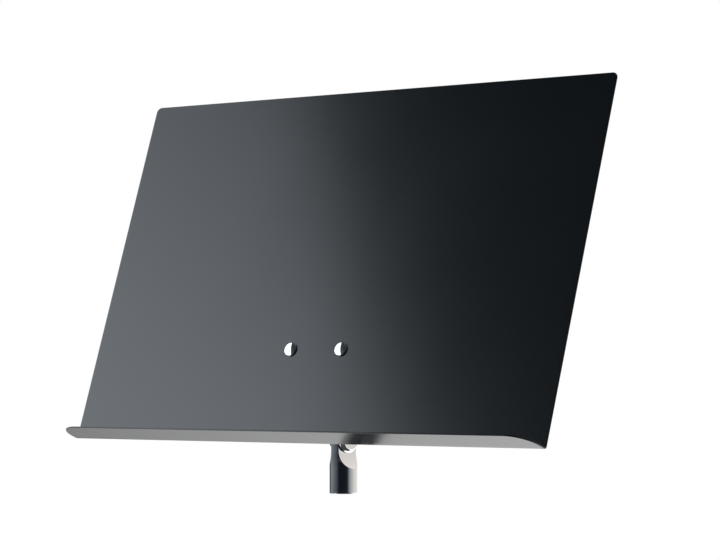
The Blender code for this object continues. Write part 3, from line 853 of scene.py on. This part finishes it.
def arm_mesh(sizes, ear, outer, end, flange_back):
    """The arm with its round end: half loops carried up one side, round the axis and back.

    The centre line is a quadratic curve from the tilt axis to the middle of the flange. Half
    the height falls as a cosine from the ear to the waist and rises again to the foot, where
    a quarter circle flares it into the flange.
    """
    knee = np.array((-sin(sizes.arm_lean), cos(sizes.arm_lean))) * sizes.arm_reach
    u = 1 - (1 - np.linspace(0, 1, 61)) ** 1.5
    place = knee * (2 * u * (1 - u))[:, None] + end * (u**2)[:, None]
    along = knee * (1 - u)[:, None] + (end - knee) * u[:, None]
    along /= np.linalg.norm(along, axis=1, keepdims=True)
    across = np.stack([-along[:, 1], along[:, 0]], -1)
    widest = np.where(u < 0.5, ear, sizes.arm_foot)
    half = sizes.arm_waist + (widest - sizes.arm_waist) * (1 + np.cos(2 * pi * u)) / 2
    fillet = sizes.foot_fillet
    gap = np.clip(place[:, 0] - flange_back, 0, fillet)
    half = half + fillet - np.sqrt(fillet**2 - (fillet - gap) ** 2)

    begin = atan2(across[0, 1], across[0, 0])
    turn = begin + np.linspace(0, pi, 49)[1:-1]
    around = np.stack([np.cos(turn), np.sin(turn)], -1)
    centre = np.concatenate([place[::-1], 0 * around, place])
    reach = np.concatenate([across[::-1], around, -across])
    halves = np.concatenate([half[::-1], 0 * turn + ear, half])
    loops = half_loop(halves, outer, sizes.arm_edge)
    grid = np.empty((*loops.shape[:2], 3))
    grid[..., 0] = loops[..., 1]
    grid[..., 1:] = centre[:, None] + reach[:, None] * loops[..., :1]
    rows, cols = grid.shape[:2]
    lid = np.concatenate([np.arange(cols), (rows - 1) * cols + np.arange(cols)[-2:0:-1]])
    return closed_mesh("arm", *stitched([grid]), [lid])


def box_mesh(name, low, high):
    ring = ((0, 0), (1, 0), (1, 1), (0, 1), (0, 0))
    corners = np.array([[(x, y, z) for x, y in ring] for z in (0, 1)])
    grid = np.array(low) + corners * (np.array(high) - np.array(low))
    return closed_mesh(name, *stitched([grid]), [np.arange(4), 5 + np.arange(4)])


def flange_mesh(low, high, z, edge):
    """Plate with two half-round ends: its outline, carried out over the front and back in."""
    radius, straight = FLANGE_RADIUS, high[0] - FLANGE_RADIUS
    turn = np.linspace(-pi / 2, pi / 2, 33)
    angle = np.concatenate([turn, turn + pi])
    shift = np.repeat([straight, -straight], 33)
    angle, shift = np.append(angle, angle[0]), np.append(shift, shift[0])
    corners = [(0, low, 0), (radius, low, 0.4 * MM), (radius, high[1], edge), (0, high[1], 0)]
    profile = rounded(corners, 6)
    r, y = profile[:, :1], profile[:, 1:]
    grid = np.stack([shift + r * np.cos(angle), y + 0 * angle, z + r * np.sin(angle)], -1)
    return closed_mesh("flange", *stitched([grid]))


def rod_mesh(name, radius, low, high, place):
    profile = np.array([(0, low), (radius, low), (radius, high), (0, high)])
    points, quads = stitched([turned_grid(profile, 72)])
    return closed_mesh(name, moved(points, place), quads)


def slot_mesh(half, depth, wide, lean):
    """The fork's slot: open below the axis, flat at its depth above it, turned by the lean."""
    mesh = box_mesh("slot", (-half, -wide, -30 * MM), (half, wide, depth))
    mesh.transform(Matrix.Rotation(lean, 4, "X"))
    return mesh


def build_bracket(sizes):
    low, high = desk_box("tilt_bracket")
    ear = -low[2]
    bolt_x, _, bolt_z = middle_of("flange_washer_right")
    flange_back = desk_box("flange_washer_right")[0][1] - 0.3 * MM
    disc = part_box("friction_disc_right")
    inner = disc[1].x + 0.3 * MM
    flange_low = low[1]
    end = np.array(((flange_low + flange_back) / 2, bolt_z))
    arm = arm_mesh(sizes, ear, CHEEK, end, flange_back)
    flange = flange_mesh(flange_low, (high[0], flange_back), bolt_z, 1.2 * MM)
    far = 80 * MM
    ahead = (-far, flange_low - far, 0), (far, flange_low + 0.5 * MM, far + bolt_z)
    steps = [
        ("DIFFERENCE", box_mesh("in_front", *ahead)),
        ("UNION", flange),
        ("DIFFERENCE", slot_mesh(inner, SLOT_DEPTH, ear + sizes.arm_waist, sizes.arm_lean)),
        ("DIFFERENCE", rod_mesh("axle", PIVOT_BORE, -20 * MM, 20 * MM, ALONG_X)),
    ]
    for side in (-1, 1):
        at = Matrix.Translation((side * bolt_x, 0, bolt_z)) @ ALONG_Y
        hole = rod_mesh("hole", NECK_HOLE, flange_low - MM, flange_back + MM, at)
        steps.append(("DIFFERENCE", hole))
    mesh = cut_and_joined(arm, steps)
    mesh.transform(DESK)
    finished("tilt_bracket", shaded(mesh, 32), "casting", "desk")


# ---- post ----


def post_half(sizes, radius, top_radius):
    """The right half of the post's outside: a grid of height by angle from front to back.

    Radius is a soft minimum of the round post's and the flat's, which is w / cos(angle). Below
    the waist w grows as a circle's run-out, and the round post's radius swells as a cosine.
    Above the waist each column ends on the round top.
    """
    half, waist, level = sizes.tongue / 2, sizes.waist, sizes.waist_height
    start = level - sqrt(waist**2 - (waist + half - radius) ** 2)
    run_out = start + (level - start) * np.linspace(0, 1, 61) ** 1.7
    flat = half + waist - np.sqrt(np.maximum(waist**2 - (run_out - level) ** 2, 0))
    flat = np.concatenate([np.minimum(flat, radius), np.full(24, half)])
    share = np.concatenate([0 * run_out, np.linspace(0, 1, 25)[1:]])
    z = np.concatenate([run_out, np.full(24, level)])
    swell = (1 - np.cos(pi * (z - start) / (level - start))) / 2
    round_post = (radius + (sizes.tongue_width / 2 - radius) * swell)[:, None]
    corner = np.arccos(np.minimum(flat[:, None] / round_post, 1))
    ease = (1 - np.cos(np.linspace(0, pi, 65))) / 2
    half_ease = np.sin(np.linspace(0, pi / 2, 49))
    front = -pi / 2 + (pi / 2 - corner) * half_ease
    across = -corner + 2 * corner * ease
    angle = np.concatenate([front, across[:, 1:-1], -front[:, ::-1]], 1)
    plane = flat[:, None] / np.maximum(np.cos(angle), 1e-6)
    soft = 0.06 * MM
    r = round_post - soft * np.logaddexp(0, (round_post - plane) / soft)
    x, y = r * np.cos(angle), r * np.sin(angle)
    top = AXIS.z + np.sqrt(np.maximum(top_radius**2 - y**2, 0))
    height = z[:, None] + share[:, None] * (top - level)
    return np.stack([x, y, height], -1), angle[0], start


def build_post(sizes):
    low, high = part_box("socket_post")
    radius = (high.x - low.x) / 2
    top_radius = high.z - AXIS.z
    upper, angle, start = post_half(sizes, radius, top_radius)
    mouth = 0.35 * MM
    corners = [(0, SOCKET_DEPTH, 0), (SOCKET, SOCKET_DEPTH, 0.3 * MM), (SOCKET, mouth, 0)]
    corners += [(SOCKET + mouth, 0, 0), (radius, 0, 0.6 * MM), (radius, start, 0)]
    profile = rounded(corners, 8)
    lower = polar(profile[:, :1], angle, profile[:, 1:])
    lower[-1] = upper[0]
    right = np.concatenate([lower, upper[1:]])
    left = right * (-1, 1, 1)
    rim = right[-1][:, None]
    cap = np.concatenate([rim * (share, 1, 1) for share in np.linspace(1, -1, 9)], 1)
    body = closed_mesh("post", *stitched([right, left, cap]))
    across = Matrix.Translation(AXIS) @ ALONG_X
    seat = rod_mesh("seat", BUSH_SEAT, -20 * MM, 20 * MM, across)
    mesh = cut_and_joined(body, [("DIFFERENCE", seat)])
    finished("socket_post", shaded(mesh, 40), "chrome", "post")

    low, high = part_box("thread_insert")
    outer, root = (high.x - low.x) / 2, ROD_CREST + ROD_THREAD
    first, last = low.z + 0.6 * MM, high.z - 0.6 * MM
    thread = threaded(root, ROD_THREAD, ROD_PITCH, first, last, 72, 10)
    below = [(root, first, 0), (root + 0.5 * MM, low.z, 0.05 * MM), (outer, low.z, 0)]
    above = [(outer, low.z, 0), (outer, high.z, 0.2 * MM), (root, high.z, 0), (root, last, 0)]
    ends = [turned_grid(rounded(corners, 3), 72) for corners in (below, above)]
    grid_piece("thread_insert", [thread, *ends], "zinc_steel", "post", Matrix.Identity(4))


# ---- stage ----

# Colour of the room by angle from the camera, in degrees, positive to the camera's right
ROOM = (
    (-180, 0.50, 0.50, 0.50),
    (-172, 0.12, 0.13, 0.14),
    (-142, 0.08, 0.09, 0.10),
    (-130, 0.16, 0.18, 0.19),
    (-118, 0.28, 0.31, 0.32),
    (-103, 0.22, 0.25, 0.265),
    (-90, 0.165, 0.19, 0.20),
    (-78, 0.135, 0.16, 0.175),
    (-66, 0.105, 0.125, 0.14),
    (-54, 0.065, 0.075, 0.09),
    (-44, 0.028, 0.030, 0.042),
    (-34, 0.011, 0.011, 0.017),
    (24, 0.011, 0.011, 0.017),
    (35, 0.032, 0.038, 0.046),
    (42, 0.10, 0.12, 0.13),
    (52, 0.27, 0.30, 0.315),
    (61, 0.37, 0.40, 0.40),
    (81, 0.57, 0.57, 0.565),
    (104, 0.79, 0.755, 0.72),
    (140, 0.89, 0.85, 0.82),
    (180, 1.0, 1.0, 1.0),
)
ROOM_SIDE = 0.3  # a direction's part to the right, where the fading stops
ROOM_RISE = (0.2, 0.6)  # a direction's upward part, between which the left fades
CELLAR, CELLAR_FALL = 0.6, -0.25  # light that the left keeps low down, and how low
FLOOR_RADIUS = 7
FLOOR_GLOW = (-2.4, -0.4)  # x where the floor's glow starts and stops to grow
LANE_SHIFT, LANE_SPREAD = -0.35, 1.4  # of the floor's dark lane
LANE_EDGE, LANE_GLOW = (0.75, 1.25), 0.03
PANEL_FACING, PANEL_RAISE = (-0.623, -0.588, 0.515), (0, 0.02, 0.2)
PANEL_LEFT, PANEL_LOW, PANEL_HIGH = 1.55, -0.56, 0.72
PANEL_FALL, PANEL_PEAK = (0.25, 1.364), 1.5  # glow lost to each metre, and its most


def glowing(name, strength=1):
    """An emission material, its graph, and its light's node."""
    made = bpy.data.materials.new(name)
    made.use_nodes = True
    graph = Graph(made.node_tree)
    graph.nodes.clear()
    light = graph.add("Emission", {"Strength": strength})
    graph.add("OutputMaterial", {"Surface": light})
    return made, graph, light


def open_mesh(name, grid, material):
    points, quads = stitched([grid])
    mesh = bpy.data.meshes.new(name)
    mesh.from_pydata(points.tolist(), [], quads.tolist())
    mesh.materials.append(material)
    return mesh


def surroundings(studio):
    """White to the camera. To everything else, a room that is dark behind the camera.

    Colour follows the direction's angle round the object, counted from the camera. On the left
    it fades with height, and a little below the horizon.
    """
    world = bpy.data.worlds.new("studio")
    bpy.context.scene.world = world
    world.use_nodes = True
    graph = Graph(world.node_tree)
    from_camera = {
        "Vector": graph.add("TexCoord").outputs["Generated"],
        "Rotation": (0, 0, pi / 2 - studio.heading),
    }
    turned = graph.add("Mapping", from_camera, vector_type="VECTOR")
    ahead, right, up = graph.add("SeparateXYZ", {"Vector": turned}).outputs
    around = graph.ranged(graph.math("ARCTAN2", right, ahead), -pi, pi, 0, 1)
    ramp = graph.add("ValToRGB", {"Fac": around})
    elements = ramp.color_ramp.elements
    while len(elements) > 1:
        elements.remove(elements[-1])
    for i, (degrees, *tone) in enumerate(ROOM):
        position = 0.5 + degrees / 360
        element = elements[0] if i == 0 else elements.new(position)
        element.position = position
        element.color = (*tone, 1)
    room = graph.nodes["Background"]
    graph.feed(room.inputs["Color"], ramp)
    ceiling = graph.ranged(right, -ROOM_SIDE, ROOM_SIDE, studio.ceiling, 1)
    cellar = graph.ranged(right, -ROOM_SIDE, ROOM_SIDE, CELLAR, 1)
    above = graph.ranged(up, *ROOM_RISE, 1, ceiling, "SMOOTHSTEP")
    below = graph.ranged(up, CELLAR_FALL, 0, cellar, 1)
    graph.feed(room.inputs["Strength"], graph.math("MULTIPLY", above, below))
    white = graph.add("Background", {"Color": (1, 1, 1, 1)})
    seen = graph.add("LightPath").outputs["Is Camera Ray"]
    whole = graph.add("MixShader", {"Fac": seen, 1: room, 2: white})
    graph.feed(graph.nodes["World Output"].inputs["Surface"], whole)


def soft_panel(studio):
    """A large slanted softbox, up and to the left, brightest at its low edge.

    A grid over (across, up) in the panel's own plane. Its right side leans with its height.
    Brightness falls off linearly in both directions.
    """
    facing = np.array(PANEL_FACING)
    facing /= np.linalg.norm(facing)
    rise = np.array((0, 0, 1)) - facing[2] * facing
    rise /= np.linalg.norm(rise)
    across = np.cross(facing, rise)
    middle = studio.panel_distance * facing + PANEL_RAISE
    v = np.linspace(PANEL_LOW, PANEL_HIGH, 17)[:, None]
    first = studio.panel_side + studio.panel_slant * v
    u = first + (PANEL_LEFT - first) * np.linspace(0, 1, 17)[None]
    grid = middle + u[..., None] * across + v[..., None] * rise
    material, graph, light = glowing("soft_panel")
    mesh = open_mesh("soft_panel", grid, material)
    loss = PANEL_FALL[0] * u + PANEL_FALL[1] * v
    glow = np.clip(1 - loss, 0, PANEL_PEAK) * studio.key_light
    values = mesh.attributes.new("glow", "FLOAT", "POINT")
    values.data.foreach_set("value", glow.ravel().astype(np.float32))
    reading = graph.add("Attribute", attribute_name="glow")
    graph.feed(light.inputs["Strength"], reading.outputs["Fac"])
    graph.feed(light.inputs["Color"], (*studio.key_colour, 1))
    hidden_stage("soft_panel", mesh)


def hidden_stage(name, mesh):
    """A stage object that only light and reflections see."""
    obj = linked(name, mesh)
    obj.visible_camera = False
    obj.visible_shadow = False
    return obj


def graded_floor(studio):
    """Pale floor, white to the camera, that glows onto the shelf's underside.

    The glow grows with x, and is dark right below and in a widening lane towards the camera.
    """
    edge, middle = (FLOOR_RADIUS, -studio.floor_depth), (0, -studio.floor_depth)
    material, graph, glow = glowing("pale_floor")
    mesh = open_mesh("floor", turned_grid(np.array([edge, middle]), 96), material)
    spot = graph.add("TexCoord").outputs["Object"]
    x = graph.add("SeparateXYZ", {"Vector": spot}).outputs["X"]
    along = graph.ranged(x, *FLOOR_GLOW, studio.floor_left, studio.floor_right)
    from_camera = {
        "Vector": spot,
        "Rotation": (0, 0, pi / 2 - studio.heading),
        "Location": (0, LANE_SHIFT, 0),
    }
    turned = graph.add("Mapping", from_camera)
    ahead, right, _ = graph.add("SeparateXYZ", {"Vector": turned}).outputs
    wide = graph.math("MULTIPLY_ADD", graph.math("MAXIMUM", ahead, 0), LANE_SPREAD, 1)
    flat = {"X": graph.math("MINIMUM", ahead, 0), "Y": graph.math("DIVIDE", right, wide)}
    away = graph.add("VectorMath", {0: graph.add("CombineXYZ", flat)}, operation="LENGTH")
    lane = graph.ranged(away.outputs["Value"], *LANE_EDGE, LANE_GLOW, 1, "SMOOTHSTEP")
    graph.feed(glow.inputs["Strength"], graph.math("MULTIPLY", along, lane))
    seen = graph.add("LightPath").outputs["Is Camera Ray"]
    below = graph.add("NewGeometry").outputs["Backfacing"]
    top = graph.add("MixShader", {"Fac": seen, 1: glow, 2: graph.add("Emission")})
    clear = graph.add("BsdfTransparent")
    whole = graph.add("MixShader", {"Fac": below, 1: top, 2: clear})
    graph.feed(graph.nodes["Material Output"].inputs["Surface"], whole)
    floor = linked("floor", mesh)


def stand_shade():
    """Dark upright where a stand's tube would be, seen only in the gloss of the part."""
    radius, low, high = 14 * MM, -600 * MM, -4 * MM
    ring = turned_grid(np.array([(radius, low), (radius, high), (0, high)]), 48)
    material, _, _ = glowing("stand_shade", 0.012)
    mesh = open_mesh("stand_shade", ring, material)
    hidden_stage("stand_shade", mesh).visible_diffuse = False


def build_stage(studio):
    surroundings(studio)
    graded_floor(studio)
    soft_panel(studio)
    stand_shade()

    camera = linked("camera", bpy.data.cameras.new("camera"))
    camera.location = studio.camera_place
    camera.rotation_euler = (pi / 2 + studio.pitch, 0, studio.heading)
    camera.data.lens = studio.focal_length
    camera.data.sensor_width = 36
    camera.data.clip_end = 60
    bpy.context.scene.camera = camera
    bpy.context.scene.view_settings.view_transform = "Standard"


# ---- operators ----


class MUSICDESK_OT_stage(bpy.types.Operator):
    """Add the floor, the light and the camera"""

    bl_idname = "musicdesk.stage"
    bl_label = "Stage"

    def execute(self, context):
        build_stage(context.scene.music_desk_studio)
        return {"FINISHED"}


class MUSICDESK_OT_sheet(bpy.types.Operator):
    """Build the folded desk sheet with its shelf"""

    bl_idname = "musicdesk.sheet"
    bl_label = "Desk sheet"

    def execute(self, context):
        build_sheet(context.scene.music_desk_sizes)
        return {"FINISHED"}


class MUSICDESK_OT_desk_bolts(bpy.types.Operator):
    """Build the two desk bolts with their washers and nuts"""

    bl_idname = "musicdesk.desk_bolts"
    bl_label = "Desk bolts"

    def execute(self, context):
        build_desk_bolts()
        return {"FINISHED"}


class MUSICDESK_OT_bracket(bpy.types.Operator):
    """Build the cast bracket: flange, arm and fork"""

    bl_idname = "musicdesk.bracket"
    bl_label = "Bracket"

    def execute(self, context):
        build_bracket(context.scene.music_desk_sizes)
        return {"FINISHED"}


class MUSICDESK_OT_tilt_axis(bpy.types.Operator):
    """Build the pivot bolt, discs, springs and nut on the tilt axis"""

    bl_idname = "musicdesk.tilt_axis"
    bl_label = "Tilt axis"

    def execute(self, context):
        build_tilt_axis()
        return {"FINISHED"}


class MUSICDESK_OT_post(bpy.types.Operator):
    """Build the waisted post and its thread insert"""

    bl_idname = "musicdesk.post"
    bl_label = "Socket post"

    def execute(self, context):
        build_post(context.scene.music_desk_sizes)
        return {"FINISHED"}


OPERATORS = (
    MUSICDESK_OT_stage,
    MUSICDESK_OT_sheet,
    MUSICDESK_OT_desk_bolts,
    MUSICDESK_OT_bracket,
    MUSICDESK_OT_tilt_axis,
    MUSICDESK_OT_post,
)


class MUSICDESK_PT_panel(bpy.types.Panel):
    """Everything that builds the music desk"""

    bl_idname = "MUSICDESK_PT_panel"
    bl_label = "Music desk"
    bl_space_type = "VIEW_3D"
    bl_region_type = "UI"
    bl_category = "Music desk"

    def draw(self, context):
        for operator in OPERATORS:
            self.layout.operator(operator.bl_idname)


SETTINGS = {
    "music_desk_sizes": MusicDeskSizes,
    "music_desk_finish": MusicDeskFinish,
    "music_desk_studio": MusicDeskStudio,
}


def register():
    for group in SETTINGS.values():
        bpy.utils.register_class(group)
    for name, group in SETTINGS.items():
        setattr(bpy.types.Scene, name, bpy.props.PointerProperty(type=group))
    for operator in OPERATORS:
        bpy.utils.register_class(operator)
    bpy.utils.register_class(MUSICDESK_PT_panel)


def unregister():
    bpy.utils.unregister_class(MUSICDESK_PT_panel)
    for operator in reversed(OPERATORS):
        bpy.utils.unregister_class(operator)
    for name, group in reversed(SETTINGS.items()):
        delattr(bpy.types.Scene, name)
        bpy.utils.unregister_class(group)


def main():
    register()
    bpy.ops.musicdesk.stage()
    bpy.ops.musicdesk.sheet()
    bpy.ops.musicdesk.desk_bolts()
    bpy.ops.musicdesk.bracket()
    bpy.ops.musicdesk.tilt_axis()
    bpy.ops.musicdesk.post()


if __name__ == "__main__":
    main()
